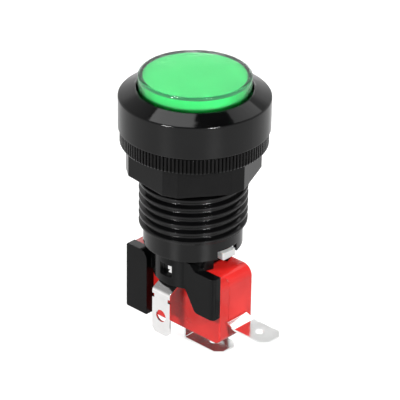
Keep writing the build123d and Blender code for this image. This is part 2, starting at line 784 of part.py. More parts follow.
# Lamp contacts: spring finger, strip, outward sweep and solder tab in one piece
with BuildPart() as lamp_contact_front:
    lead_face_y = -lamp_base_width / 2 - lead_radius - seat_gap
    finger_y = lead_face_y - strip_thickness / 2
    with BuildSketch(Plane.YZ):
        with BuildLine():
            FilletPolyline(
                (finger_y - finger_tip_flare, lamp_base_bottom + finger_tip_rise),
                (finger_y, lamp_base_bottom + finger_press_rise),
                (finger_y - finger_lean, holder_top_height - finger_lean_drop),
                (contact_strip_y + strip_thickness / 2, holder_top_height - finger_crown_drop),
                (contact_strip_y, holder_top_height - finger_lean_drop),
                (contact_strip_y, cheek_bottom_height - strip_thickness / 2),
                (lug_y, lug_bend_height),
                (lug_y, lug_bottom_height),
                radius=contact_bend_radius,
            )
        trace(line_width=strip_thickness)
    extrude(amount=lug_width / 2, both=True)
    # Notches under the bend and chamfers at the tip
    notch_middle_height = lug_bend_height - (lug_notch_start + lug_notch_end) / 2
    with BuildSketch(Plane.XZ.offset(-lug_y)):
        with Locations(
            (lug_width / 2, notch_middle_height),
            (-lug_width / 2, notch_middle_height),
        ):
            Rectangle(2 * lug_notch_depth, lug_notch_end - lug_notch_start)
        with Locations((0, lug_bend_height - lug_hole_drop)):
            Circle(lug_hole_radius)
    extrude(amount=strip_thickness, both=True, mode=Mode.SUBTRACT)
    tip_edges = lamp_contact_front.edges().filter_by(Axis.Y).group_by(Axis.Z)[0]
    chamfer(tip_edges, lug_chamfer)
    # Locking barb, pushed out into the window
    barb_foot_x = window_width / 2 - barb_end_gap - barb_width
    with BuildSketch(Plane.XZ.offset(-contact_strip_y)):
        with BuildLine():
            Polyline(
                (barb_foot_x, window_bottom_height + barb_end_gap),
                (barb_foot_x + barb_width, window_bottom_height + barb_end_gap),
                (barb_foot_x + barb_width - barb_lean, window_top_height - barb_end_gap),
                close=True,
            )
        make_face()
    extrude(amount=barb_reach)
lamp_contact_front.part.label = "lamp_contact_front"
export_step(lamp_contact_front.part, "parts/lamp_contact_front.step")

with BuildPart() as lamp_contact_back:
    mirror(lamp_contact_front.part, about=Plane.XZ)
lamp_contact_back.part.label = "lamp_contact_back"
export_step(lamp_contact_back.part, "parts/lamp_contact_back.step")


# Side profile shared by the switch's two halves: the upper corners have the larger round
with BuildSketch() as switch_profile:
    with Locations((switch_centre_x, switch_middle_height)):
        Rectangle(switch_length, switch_height)
    fillet(switch_profile.vertices().group_by(Axis.Y)[0], switch_small_round)
    fillet(switch_profile.vertices().group_by(Axis.Y)[-1], switch_large_round)


# Microswitch case: back half with the cavity, two bosses, the pin's hole and the terminals' slots
case_depth = switch_thickness - switch_cover_depth
with BuildPart() as switch_case:
    with BuildSketch(Plane.XZ.offset(switch_front_y)):
        add(switch_profile.sketch)
    extrude(amount=case_depth)
    fillet(switch_case.faces().sort_by(Axis.Y)[-1].edges(), switch_edge_round)
    chamfer(switch_case.faces().sort_by(Axis.Y)[0].edges(), parting_bevel)
    with BuildSketch(Plane.XZ.offset(switch_front_y + switch_wall)):
        with Locations((switch_centre_x, (ceiling_height + floor_height) / 2)):
            Rectangle(switch_length - 2 * switch_wall, ceiling_height - floor_height)
    extrude(amount=case_depth - switch_wall, mode=Mode.SUBTRACT)
    with BuildSketch(Plane.XZ.offset(switch_front_y)):
        with Locations(upper_hole, lower_hole):
            Circle(boss_radius)
    extrude(amount=case_depth)
    with BuildSketch(Plane.XZ.offset(switch_front_y)):
        with Locations(upper_hole, lower_hole):
            Circle(hole_radius)
    extrude(amount=case_depth, mode=Mode.SUBTRACT)
    with BuildSketch(Plane.XY.offset(ceiling_height)):
        with Locations((pin_x, 0)):
            Circle(pin_radius + seat_gap)
    extrude(amount=switch_top_wall, mode=Mode.SUBTRACT)
    with BuildSketch(Plane.XY.offset(switch_bottom_height)):
        with Locations((bottom_tab_x, 0)):
            Rectangle(slot_thickness, slot_width)
    extrude(amount=switch_wall, mode=Mode.SUBTRACT)
    with BuildSketch(Plane.YZ.offset(switch_right_x)):
        with Locations((0, end_root_height)):
            Rectangle(slot_width, slot_thickness)
    extrude(amount=-switch_wall, mode=Mode.SUBTRACT)
switch_case.part.label = "switch_case"
export_step(switch_case.part, "parts/switch_case.step")


# Microswitch cover: shallow front half, which closes the cavity and the slots
with BuildPart() as switch_cover:
    with BuildSketch(Plane.XZ.offset(-parting_y)):
        add(switch_profile.sketch)
    extrude(amount=switch_cover_depth)
    fillet(switch_cover.faces().sort_by(Axis.Y)[0].edges(), switch_edge_round)
    chamfer(switch_cover.faces().sort_by(Axis.Y)[-1].edges(), parting_bevel)
    with BuildSketch(Plane.XZ.offset(-parting_y)):
        with Locations((switch_centre_x, (ceiling_height + floor_height) / 2)):
            Rectangle(switch_length - 2 * switch_wall, ceiling_height - floor_height)
    extrude(amount=switch_cover_depth - switch_wall, mode=Mode.SUBTRACT)
    with BuildSketch(Plane.XZ.offset(-parting_y)):
        with Locations(upper_hole, lower_hole):
            Circle(boss_radius)
    extrude(amount=switch_cover_depth)
    with BuildSketch(Plane.XZ.offset(-parting_y)):
        with Locations(upper_hole, lower_hole):
            Circle(hole_radius)
    extrude(amount=switch_cover_depth, mode=Mode.SUBTRACT)
    with BuildSketch(Plane.XY.offset(switch_bottom_height)):
        with Locations((bottom_tab_x, 0)):
            Rectangle(slot_thickness, slot_width)
    extrude(amount=switch_wall, mode=Mode.SUBTRACT)
    with BuildSketch(Plane.YZ.offset(switch_right_x)):
        with Locations((0, end_root_height)):
            Rectangle(slot_width, slot_thickness)
    extrude(amount=-switch_wall, mode=Mode.SUBTRACT)
    # A faint round mark where the mould's ejector stood
    with BuildSketch(Plane.XZ.offset(-switch_front_y)):
        with Locations((bottom_tab_x + ejector_mark_offset, switch_bottom_height + ejector_mark_rise)):
            Circle(ejector_mark_radius)
    extrude(amount=-ejector_mark_depth, mode=Mode.SUBTRACT)
switch_cover.part.label = "switch_cover"
export_step(switch_cover.part, "parts/switch_cover.step")


# Switch pin: head outside, collar under the top wall, stem that bears on the blade
with BuildPart() as switch_pin:
    collar_top = ceiling_height - seat_gap
    collar_bottom_height = collar_top - pin_collar_thickness
    stem_bottom = blade_top + seat_gap
    with BuildSketch(Plane.XZ):
        with BuildLine():
            Polyline(
                (pin_x, pin_top_height),
                (pin_x + pin_radius - pin_head_chamfer, pin_top_height),
                (pin_x + pin_radius, pin_top_height - pin_head_chamfer),
                (pin_x + pin_radius, collar_top),
                (pin_x + pin_collar_radius, collar_top),
                (pin_x + pin_collar_radius, collar_bottom_height),
                (pin_x + pin_stem_radius, collar_bottom_height),
                (pin_x + pin_stem_radius, stem_bottom + pin_stem_chamfer),
                (pin_x + pin_stem_radius - pin_stem_chamfer, stem_bottom),
                (pin_x, stem_bottom),
                close=True,
            )
        make_face()
    revolve(axis=Axis((pin_x, 0, 0), (0, 0, 1)))
switch_pin.part.label = "switch_pin"
export_step(switch_pin.part, "parts/switch_pin.step")


# Common terminal: tab under the switch, riser through the floor, strip to the blade's root
floor_strip_height = floor_height + strip_thickness / 2
anchor_step_height = lower_hole[1] + boss_radius + strip_thickness / 2 + seat_gap
anchor_step_x = lower_hole[0] + boss_radius + strip_thickness
with BuildPart() as com_terminal:
    with BuildSketch(Plane.XZ):
        with BuildLine():
            FilletPolyline(
                (bottom_tab_x + bottom_tab_length, bottom_tab_height),
                (bottom_tab_x, bottom_tab_height),
                (bottom_tab_x, switch_bottom_height - seat_gap),
                radius=strip_bend_radius,
            )
        trace(line_width=strip_thickness)
    extrude(amount=tab_width / 2, both=True)
    chamfer(com_terminal.edges().filter_by(Axis.Z).group_by(Axis.X)[-1], tab_tip_chamfer)
    with BuildSketch(Plane.XZ):
        with BuildLine():
            FilletPolyline(
                (bottom_tab_x, bottom_tab_height + 2 * strip_bend_radius),
                (bottom_tab_x, floor_strip_height),
                (anchor_step_x, floor_strip_height),
                (anchor_step_x, anchor_step_height),
                (blade_root_x, anchor_step_height),
                (blade_root_x, blade_bottom - seat_gap),
                radius=strip_fold_radius,
            )
        trace(line_width=strip_thickness)
    extrude(amount=inner_strip_width / 2, both=True)
    # Lanced post that the blade's tongue bears on
    with BuildSketch(Plane.XZ):
        with BuildLine():
            Line((post_x, floor_strip_height), (post_x, tongue_tip_height - seat_gap))
        trace(line_width=strip_thickness)
    extrude(amount=post_width / 2, both=True)
    with BuildSketch(Plane.XY.offset(bottom_tab_height)):
        with Locations((bottom_tab_x + bottom_tab_hole_reach, 0)):
            Circle(tab_hole_radius)
    extrude(amount=strip_thickness, both=True, mode=Mode.SUBTRACT)
com_terminal.part.label = "com_terminal"
export_step(com_terminal.part, "parts/com_terminal.step")


# Normally open terminal: joggled tab outside, folded strip inside that carries the fixed contact
fold_x = switch_right_x - switch_wall - strip_thickness - loose_gap
with BuildPart() as no_terminal:
    with BuildSketch(Plane.XZ):
        with BuildLine():
            FilletPolyline(
                (switch_right_x + end_tab_reach, end_tab_height),
                (switch_right_x + end_tab_joggle_end, end_tab_height),
                (switch_right_x + end_tab_joggle_start, end_root_height),
                (switch_right_x, end_root_height),
                radius=strip_bend_radius,
            )
        trace(line_width=strip_thickness)
    extrude(amount=tab_width / 2, both=True)
    chamfer(no_terminal.edges().filter_by(Axis.Z).group_by(Axis.X)[-1], tab_tip_chamfer)
    with BuildSketch(Plane.XZ):
        with BuildLine():
            FilletPolyline(
                (switch_right_x + strip_thickness, end_root_height),
                (fold_x, end_root_height),
                (fold_x, fixed_strip_height),
                (contact_x - 2 * contact_radius, fixed_strip_height),
                radius=strip_fold_radius,
            )
        trace(line_width=strip_thickness)
    extrude(amount=inner_strip_width / 2, both=True)
    with BuildSketch(Plane.XY.offset(end_tab_height)):
        with Locations((switch_right_x + end_tab_hole_reach, 0)):
            Circle(tab_hole_radius)
    extrude(amount=strip_thickness, both=True, mode=Mode.SUBTRACT)
no_terminal.part.label = "no_terminal"
export_step(no_terminal.part, "parts/no_terminal.step")

with BuildPart() as fixed_contact:
    with BuildSketch(Plane.XY.offset(fixed_contact_bottom)):
        with Locations((contact_x, 0)):
            Circle(contact_radius)
    extrude(amount=contact_thickness)
    fillet(fixed_contact.edges().group_by(Axis.Z)[-1], contact_edge_round)
fixed_contact.part.label = "fixed_contact"
export_step(fixed_contact.part, "parts/fixed_contact.step")


# Snap blade: leaf with a sprung tongue that bears on the common terminal's post
with BuildPart() as snap_blade:
    window_start_x = post_x - tongue_width / 2
    leaf_start_x = blade_root_x - strip_thickness / 2
    with BuildSketch(Plane.XY.offset(blade_bottom)):
        with Locations(((leaf_start_x + blade_tip_x) / 2, 0)):
            Rectangle(blade_tip_x - leaf_start_x, blade_width)
        with Locations(((window_start_x + tongue_root_x) / 2, 0)):
            Rectangle(tongue_root_x - window_start_x, tongue_slot_width, mode=Mode.SUBTRACT)
        with Locations((contact_x, 0)):
            Circle(rivet_radius, mode=Mode.SUBTRACT)
    extrude(amount=blade_thickness)
    with BuildSketch(Plane.XZ):
        with BuildLine():
            ThreePointArc(
                (tongue_root_x + blade_thickness, blade_height),
                ((tongue_root_x + post_x) / 2, blade_height - tongue_sag),
                (post_x, tongue_tip_height + blade_thickness / 2),
            )
        trace(line_width=blade_thickness)
    extrude(amount=tongue_width / 2, both=True)
snap_blade.part.label = "snap_blade"
export_step(snap_blade.part, "parts/snap_blade.step")

# Moving contact: a rivet through the blade's free end
with BuildPart() as moving_contact:
    with BuildSketch(Plane.XY.offset(blade_bottom - contact_thickness)):
        with Locations((contact_x, 0)):
            Circle(contact_radius)
    extrude(amount=contact_thickness)
    fillet(moving_contact.edges().group_by(Axis.Z)[0], contact_edge_round)
    with BuildSketch(Plane.XY.offset(blade_bottom)):
        with Locations((contact_x, 0)):
            Circle(rivet_radius)
    extrude(amount=blade_thickness)
    with BuildSketch(Plane.XY.offset(blade_top)):
        with Locations((contact_x, 0)):
            Circle(rivet_head_radius)
    extrude(amount=rivet_head_height)
moving_contact.part.label = "moving_contact"
export_step(moving_contact.part, "parts/moving_contact.step")
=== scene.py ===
import math

import bpy
from mathutils import Matrix, Vector


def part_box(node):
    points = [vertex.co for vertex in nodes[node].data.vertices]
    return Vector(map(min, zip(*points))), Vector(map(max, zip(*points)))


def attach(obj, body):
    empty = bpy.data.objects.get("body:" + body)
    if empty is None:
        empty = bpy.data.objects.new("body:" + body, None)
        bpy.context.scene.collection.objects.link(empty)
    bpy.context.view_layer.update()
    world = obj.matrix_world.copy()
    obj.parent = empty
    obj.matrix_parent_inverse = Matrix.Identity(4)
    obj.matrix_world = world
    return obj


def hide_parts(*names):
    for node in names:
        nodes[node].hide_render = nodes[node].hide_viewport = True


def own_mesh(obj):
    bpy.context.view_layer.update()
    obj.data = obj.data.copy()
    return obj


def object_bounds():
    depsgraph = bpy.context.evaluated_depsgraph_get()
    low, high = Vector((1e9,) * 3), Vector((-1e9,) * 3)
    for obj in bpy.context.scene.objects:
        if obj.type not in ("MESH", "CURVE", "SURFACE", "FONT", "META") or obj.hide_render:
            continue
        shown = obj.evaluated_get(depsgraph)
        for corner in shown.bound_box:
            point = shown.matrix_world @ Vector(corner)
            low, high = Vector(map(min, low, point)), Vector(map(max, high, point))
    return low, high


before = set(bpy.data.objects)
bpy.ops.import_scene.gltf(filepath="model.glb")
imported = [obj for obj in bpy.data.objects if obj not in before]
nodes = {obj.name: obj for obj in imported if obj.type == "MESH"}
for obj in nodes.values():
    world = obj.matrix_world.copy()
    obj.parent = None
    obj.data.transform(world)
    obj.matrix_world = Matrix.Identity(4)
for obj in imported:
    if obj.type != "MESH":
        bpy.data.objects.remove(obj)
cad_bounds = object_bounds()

MM = 0.001

for thing in bpy.context.selected_objects:
    thing.select_set(False)


# Camera: the photograph's own viewpoint

VIEW_AZIMUTH = math.radians(42.608)
VIEW_ELEVATION = math.radians(28.238)
VIEW_ROLL = math.radians(0.925)
VIEW_DISTANCE = 520 * MM
AIM_RIGHT = 1.427 * MM
AIM_HEIGHT = -18.188 * MM
LENS = 216.3
SENSOR_WIDTH = 36
NEAREST_SEEN = 0.01
FARTHEST_SEEN = 20


def place_camera():
    """Looks down at the button from its right front, at a point just right of its axis."""
    up = Vector((0, 0, 1))
    across = Vector((math.cos(VIEW_AZIMUTH), math.sin(VIEW_AZIMUTH), 0))
    away = Vector((-math.sin(VIEW_AZIMUTH), math.cos(VIEW_AZIMUTH), 0))
    forward = away * math.cos(VIEW_ELEVATION) - up * math.sin(VIEW_ELEVATION)
    upward = across.cross(forward)
    right = across * math.cos(VIEW_ROLL) + upward * math.sin(VIEW_ROLL)
    top = upward * math.cos(VIEW_ROLL) - across * math.sin(VIEW_ROLL)
    place = across * AIM_RIGHT + up * AIM_HEIGHT - forward * VIEW_DISTANCE
    turn = Matrix((right, top, -forward)).transposed().to_4x4()
    camera = bpy.data.objects.new("camera", bpy.data.cameras.new("camera"))
    camera.matrix_world = Matrix.Translation(place) @ turn
    camera.data.lens = LENS
    camera.data.sensor_width = SENSOR_WIDTH
    camera.data.clip_start = NEAREST_SEEN
    camera.data.clip_end = FARTHEST_SEEN
    bpy.context.scene.collection.objects.link(camera)
    bpy.context.scene.camera = camera


place_camera()
bpy.context.scene.view_settings.view_transform = "Standard"


# Short ways to place shader nodes

EDGE_SAMPLES = 4


def feed(tree, socket, value):
    """Links an output to a socket, or sets the socket to a plain value."""
    if isinstance(value, bpy.types.NodeSocket):
        tree.links.new(value, socket)
    else:
        socket.default_value = value


def object_place(tree):
    return tree.nodes.new("ShaderNodeTexCoord").outputs["Object"]


def add_split(tree, vector):
    """A vector's X, Y and Z, by name."""
    split = tree.nodes.new("ShaderNodeSeparateXYZ")
    tree.links.new(vector, split.inputs["Vector"])
    return split.outputs


def add_math(tree, operation, *values):
    step = tree.nodes.new("ShaderNodeMath")
    step.operation = operation
    for socket, value in zip(step.inputs, values):
        feed(tree, socket, value)
    return step.outputs["Value"]


def add_noise(tree, place, scale, detail):
    noise = tree.nodes.new("ShaderNodeTexNoise")
    noise.inputs["Detail"].default_value = detail
    feed(tree, noise.inputs["Vector"], place)
    feed(tree, noise.inputs["Scale"], scale)
    return noise.outputs["Fac"]


def add_rounded_edges(tree, radius):
    """A normal that softens sharp edges to this radius."""
    rounded = tree.nodes.new("ShaderNodeBevel")
    rounded.samples = EDGE_SAMPLES
    feed(tree, rounded.inputs["Radius"], radius)
    return rounded.outputs["Normal"]


def add_bump(tree, height, depth, distance, normal):
    bump = tree.nodes.new("ShaderNodeBump")
    bump.inputs["Distance"].default_value = distance
    feed(tree, bump.inputs["Strength"], depth)
    feed(tree, bump.inputs["Height"], height)
    feed(tree, bump.inputs["Normal"], normal)
    return bump.outputs["Normal"]


def mix_shaders(tree, share, first, second):
    """The first shader where share is 0, the second where it is 1."""
    mix = tree.nodes.new("ShaderNodeMixShader")
    tree.links.new(share, mix.inputs["Fac"])
    tree.links.new(first, mix.inputs[1])
    tree.links.new(second, mix.inputs[2])
    return mix.outputs["Shader"]


# Shader groups shared by the finishes

RIPPLE_SCALE = 260
RIPPLE_DETAIL = 2
RIPPLE_HEIGHT = 0.4 * MM
GRAIN_DETAIL = 3
GRAIN_HEIGHT = 0.03 * MM
GLOSS_PATCH_SCALE = 120
GLOSS_PATCH_DETAIL = 4
NOISE_MIDDLE = 0.5

ROLLING_STRETCH = (60, 2600, 60)
ROLLING_DETAIL = 3
ROLLING_HEIGHT = 0.02 * MM
WAVE_SCALE = 240
WAVE_DETAIL = 1
WAVE_HEIGHT = 0.3 * MM
RUB_SCALE = 420
RUB_DETAIL = 5
METAL_EDGE_ROUND = 0.08 * MM


def new_group(name, **inputs):
    """A group with these inputs and their values, which puts out a roughness and a normal."""
    group = bpy.data.node_groups.new(name, "ShaderNodeTree")
    for label, value in inputs.items():
        socket = group.interface.new_socket(
            label.replace("_", " "), in_out="INPUT", socket_type="NodeSocketFloat")
        socket.default_value = value
    group.interface.new_socket("Roughness", in_out="OUTPUT", socket_type="NodeSocketFloat")
    group.interface.new_socket("Normal", in_out="OUTPUT", socket_type="NodeSocketVector")
    return group, group.nodes.new("NodeGroupInput").outputs, group.nodes.new("NodeGroupOutput").inputs


def make_moulded_skin():
    """Moulded plastic: faint ripple, fine grain and uneven gloss."""
    group, given, out = new_group(
        "moulded_skin", Roughness=0.2, Unevenness=0.05, Grain_Scale=3000.0, Grain_Depth=0.02,
        Ripple_Depth=0.05, Edge_Round=0.15 * MM)
    place = object_place(group)
    ripple = add_noise(group, place, RIPPLE_SCALE, RIPPLE_DETAIL)
    grain = add_noise(group, place, given["Grain Scale"], GRAIN_DETAIL)
    patches = add_noise(group, place, GLOSS_PATCH_SCALE, GLOSS_PATCH_DETAIL)
    centred = add_math(group, "SUBTRACT", patches, NOISE_MIDDLE)
    gloss = add_math(group, "MULTIPLY_ADD", centred, given["Unevenness"], given["Roughness"])
    edges = add_rounded_edges(group, given["Edge Round"])
    swell = add_bump(group, ripple, given["Ripple Depth"], RIPPLE_HEIGHT, edges)
    fine = add_bump(group, grain, given["Grain Depth"], GRAIN_HEIGHT, swell)
    group.links.new(gloss, out["Roughness"])
    group.links.new(fine, out["Normal"])
    return group


def make_rolled_strip():
    """Plated strip: rolling lines, soft waviness and rubbed patches."""
    group, given, out = new_group(
        "rolled_strip", Roughness=0.15, Rubbing=0.12, Line_Depth=0.05, Wave_Depth=0.1,
        Edge_Round=METAL_EDGE_ROUND)
    place = object_place(group)
    along = group.nodes.new("ShaderNodeMapping")
    along.inputs["Scale"].default_value = ROLLING_STRETCH
    group.links.new(place, along.inputs["Vector"])
    lines = add_noise(group, along.outputs["Vector"], 1, ROLLING_DETAIL)
    waves = add_noise(group, place, WAVE_SCALE, WAVE_DETAIL)
    patches = add_noise(group, place, RUB_SCALE, RUB_DETAIL)
    gloss = add_math(group, "MULTIPLY_ADD", patches, given["Rubbing"], given["Roughness"])
    edges = add_rounded_edges(group, given["Edge Round"])
    wave = add_bump(group, waves, given["Wave Depth"], WAVE_HEIGHT, edges)
    scored = add_bump(group, lines, given["Line Depth"], ROLLING_HEIGHT, wave)
    group.links.new(gloss, out["Roughness"])
    group.links.new(scored, out["Normal"])
    return group


moulded_skin = make_moulded_skin()
rolled_strip = make_rolled_strip()


# Finishes: their parts

SHADE_DETAIL = 3
SHADE_START = 0.35
SHADE_END = 0.65
PLASTIC_SHADE_SCALE = 150
METAL_SHADE_SCALE = 300


def start_finish(name, colour, **constants):
    """A Principled material with its constant sockets set directly."""
    material = bpy.data.materials.new(name)
    material.use_nodes = True
    shader = material.node_tree.nodes["Principled BSDF"]
    shader.inputs["Base Color"].default_value = (*colour, 1)
    for label, value in constants.items():
        shader.inputs[label.replace("_", " ")].default_value = value
    return material, material.node_tree, shader


def drifting_shade(tree, first, second, scale):
    """A colour that drifts between two shades over the surface."""
    ramp = tree.nodes.new("ShaderNodeValToRGB")
    start, end = ramp.color_ramp.elements
    start.position = SHADE_START
    start.color = (*first, 1)
    end.position = SHADE_END
    end.color = (*second, 1)
    tree.links.new(add_noise(tree, object_place(tree), scale, SHADE_DETAIL), ramp.inputs["Fac"])
    return ramp.outputs["Color"]


def add_skin(tree, shader, group, **values):
    """Places a shared group in a material and feeds the shader's roughness and normal from it."""
    skin = tree.nodes.new("ShaderNodeGroup")
    skin.node_tree = group
    for label, value in values.items():
        skin.inputs[label.replace("_", " ")].default_value = value
    tree.links.new(skin.outputs["Roughness"], shader.inputs["Roughness"])
    tree.links.new(skin.outputs["Normal"], shader.inputs["Normal"])
    return skin


def plastic(name, first, second, roughness, unevenness, grain_scale, grain_depth, ripple_depth,
            edge_round=0.15 * MM, **constants):
    """A moulded plastic between two shades; constants are sockets of the Principled shader."""
    material, tree, shader = start_finish(name, first, **constants)
    shade = drifting_shade(tree, first, second, PLASTIC_SHADE_SCALE)
    tree.links.new(shade, shader.inputs["Base Color"])
    add_skin(tree, shader, moulded_skin, Roughness=roughness, Unevenness=unevenness,
             Grain_Scale=grain_scale, Grain_Depth=grain_depth, Ripple_Depth=ripple_depth,
             Edge_Round=edge_round)
    return material


def metal(name, first, second, roughness, rubbing, line_depth, wave_depth):
    """A rolled or plated metal between two shades."""
    material, tree, shader = start_finish(name, first, Metallic=1.0)
    shade = drifting_shade(tree, first, second, METAL_SHADE_SCALE)
    tree.links.new(shade, shader.inputs["Base Color"])
    add_skin(tree, shader, rolled_strip, Roughness=roughness, Rubbing=rubbing,
             Line_Depth=line_depth, Wave_Depth=wave_depth, Edge_Round=METAL_EDGE_ROUND)
    return material


def let_light_through(material, tint):
    """Shadow rays pass a clear moulding, tinted, so that what lies under it is lit."""
    tree = material.node_tree
    shadow = tree.nodes.new("ShaderNodeLightPath").outputs["Is Shadow Ray"]
    clear = tree.nodes.new("ShaderNodeBsdfTransparent")
    clear.inputs["Color"].default_value = (*tint, 1)
    moulding = tree.nodes["Principled BSDF"].outputs["BSDF"]
    total = mix_shaders(tree, shadow, moulding, clear.outputs["BSDF"])
    tree.links.new(total, tree.nodes["Material Output"].inputs["Surface"])


# Black plastics: bezel and barrel, panel nut, lamp holder, switch pin

gloss_black = plastic(
    "gloss_black", (0.001, 0.001, 0.0011), (0.0018, 0.0018, 0.0019),
    roughness=0.07, unevenness=0.04, grain_scale=2600, grain_depth=0.01, ripple_depth=0.05,
    edge_round=0.25 * MM, Specular_IOR_Level=0.25)
nut_black = plastic(
    "nut_black", (0.001, 0.001, 0.0011), (0.0018, 0.0018, 0.0019),
    roughness=0.12, unevenness=0.06, grain_scale=2200, grain_depth=0.04, ripple_depth=0.05,
    edge_round=0.3 * MM, Specular_IOR_Level=0.13)
satin_black = plastic(
    "satin_black", (0.0012, 0.0013, 0.0014), (0.002, 0.0021, 0.0022),
    roughness=0.22, unevenness=0.08, grain_scale=3400, grain_depth=0.1, ripple_depth=0.05,
    edge_round=0.2 * MM, Specular_IOR_Level=0.12)
pin_black = plastic(
    "pin_black", (0.02, 0.02, 0.021), (0.027, 0.027, 0.028),
    roughness=0.3, unevenness=0.1, grain_scale=3000, grain_depth=0.08, ripple_depth=0.04)


# White and red plastics: diffuser, plunger, lamp base, switch body

diffuser_white = plastic(
    "diffuser_white", (0.84, 0.86, 0.84), (0.88, 0.89, 0.87),
    roughness=0.5, unevenness=0.1, grain_scale=4000, grain_depth=0.1, ripple_depth=0.02)
plunger_white = plastic(
    "plunger_white", (0.45, 0.46, 0.46), (0.49, 0.495, 0.49),
    roughness=0.35, unevenness=0.1, grain_scale=2800, grain_depth=0.08, ripple_depth=0.04,
    edge_round=0.3 * MM, Subsurface_Weight=0.12, Subsurface_Scale=1.5 * MM)
lamp_white = plastic(
    "lamp_white", (0.74, 0.74, 0.71), (0.8, 0.8, 0.77),
    roughness=0.4, unevenness=0.1, grain_scale=3000, grain_depth=0.1, ripple_depth=0.04)
switch_red = plastic(
    "switch_red", (0.46, 0.012, 0.01), (0.52, 0.016, 0.013),
    roughness=0.2, unevenness=0.08, grain_scale=2200, grain_depth=0.05, ripple_depth=0.06,
    edge_round=0.2 * MM, Subsurface_Weight=0.15, Subsurface_Scale=1.2 * MM, Specular_IOR_Level=0.35)


# Metals: tabs, lamp contacts, spring, lamp leads, snap blade, switch contacts

terminal_tin = metal(
    "terminal_tin", (0.88, 0.88, 0.875), (0.94, 0.94, 0.935),
    roughness=0.07, rubbing=0.08, line_depth=0.12, wave_depth=0.12)
contact_tin = metal(
    "contact_tin", (0.78, 0.775, 0.77), (0.84, 0.835, 0.83),
    roughness=0.05, rubbing=0.06, line_depth=0.2, wave_depth=0.1)
spring_steel = metal(
    "spring_steel", (0.52, 0.53, 0.55), (0.62, 0.63, 0.64),
    roughness=0.18, rubbing=0.12, line_depth=0.15, wave_depth=0.05)
lead_tin = metal(
    "lead_tin", (0.72, 0.72, 0.7), (0.8, 0.8, 0.78),
    roughness=0.2, rubbing=0.15, line_depth=0.1, wave_depth=0.05)
blade_copper = metal(
    "blade_copper", (0.75, 0.4, 0.2), (0.83, 0.5, 0.27),
    roughness=0.22, rubbing=0.15, line_depth=0.2, wave_depth=0.05)
contact_silver = metal(
    "contact_silver", (0.8, 0.79, 0.76), (0.88, 0.87, 0.84),
    roughness=0.25, rubbing=0.15, line_depth=0.05, wave_depth=0.05)


# Clear plastics: cap and lamp diode

ACRYLIC_IOR = 1.49
EPOXY_IOR = 1.53
CAP_SHADES = ((0.09, 0.66, 0.27), (0.105, 0.7, 0.29))
CAP_SHADE_SCALE = 140
# Painted shade: the dark green of the cap's wall at its foot in the bezel, and how far up that shade
# reaches.
CAP_FOOT_SHADE_GREEN = (0.004, 0.14, 0.025, 1)
CAP_FOOT_SHADE_HEIGHT = 0.45 * MM
CAP_SHADOW_TINT = (0.25, 0.4, 0.33)
CAP_POLISHED_RIM = 0.55 * MM
CAP_POLISHED_TOP = 0.48 * MM
CAP_FROSTING = 0.27
LED_CLEAR = (0.93, 0.95, 0.95)
LED_SHADOW_TINT = (0.92, 0.94, 0.94)

cap_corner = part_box("cap")[1]
bezel_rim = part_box("housing")[1][2]


def frosted_inside(tree, place):
    """1 on the cap's inner wall and under its top, 0 on its outside, which is polished."""
    parts = add_split(tree, place)
    flat = tree.nodes.new("ShaderNodeCombineXYZ")
    tree.links.new(parts["X"], flat.inputs["X"])
    tree.links.new(parts["Y"], flat.inputs["Y"])
    radius = tree.nodes.new("ShaderNodeVectorMath")
    radius.operation = "LENGTH"
    tree.links.new(flat.outputs["Vector"], radius.inputs[0])
    within = add_math(tree, "LESS_THAN", radius.outputs["Value"], cap_corner[0] - CAP_POLISHED_RIM)
    below = add_math(tree, "LESS_THAN", parts["Z"], cap_corner[2] - CAP_POLISHED_TOP)
    return add_math(tree, "MULTIPLY", within, below)


def paint_foot_shade(tree, place, shade):
    """Painted shade: the cap's wall is coloured darker where it goes down into the bezel, where little
    light reaches it.
    """
    above = tree.nodes.new("ShaderNodeMapRange")
    above.inputs["From Min"].default_value = bezel_rim
    above.inputs["From Max"].default_value = bezel_rim + CAP_FOOT_SHADE_HEIGHT
    tree.links.new(add_split(tree, place)["Z"], above.inputs["Value"])
    foot_shade_mix = tree.nodes.new("ShaderNodeMix")
    foot_shade_mix.data_type = "RGBA"
    foot_shade_mix.inputs["A"].default_value = CAP_FOOT_SHADE_GREEN
    tree.links.new(above.outputs["Result"], foot_shade_mix.inputs["Factor"])
    tree.links.new(shade, foot_shade_mix.inputs["B"])
    return foot_shade_mix.outputs["Result"]


def make_cap_green():
    """Clear green moulding: polished outside, frosted inside, with painted shade at the foot of its
    wall.
    """
    material, tree, shader = start_finish(
        "cap_green", CAP_SHADES[0], Transmission_Weight=1.0, IOR=ACRYLIC_IOR)
    skin = add_skin(tree, shader, moulded_skin, Roughness=0.045, Unevenness=0.02,
                    Grain_Scale=2500, Grain_Depth=0.006, Ripple_Depth=0.03, Edge_Round=0.2 * MM)
    place = object_place(tree)
    inside = frosted_inside(tree, place)
    frost = add_math(tree, "MULTIPLY_ADD", inside, CAP_FROSTING, skin.outputs["Roughness"])
    tree.links.new(frost, shader.inputs["Roughness"])
    shade = drifting_shade(tree, *CAP_SHADES, CAP_SHADE_SCALE)
    # Painted shade darkens the wall's colour at its foot.
    tree.links.new(paint_foot_shade(tree, place, shade), shader.inputs["Base Color"])
    let_light_through(material, CAP_SHADOW_TINT)
    return material


def make_led_clear():
    material, tree, shader = start_finish(
        "led_clear", LED_CLEAR, Transmission_Weight=1.0, IOR=EPOXY_IOR)
    add_skin(tree, shader, moulded_skin, Roughness=0.04, Unevenness=0.03,
             Grain_Scale=2500, Grain_Depth=0.005, Ripple_Depth=0.02, Edge_Round=0.1 * MM)
    let_light_through(material, LED_SHADOW_TINT)
    return material


cap_green = make_cap_green()
led_clear = make_led_clear()


# Which node wears which finish

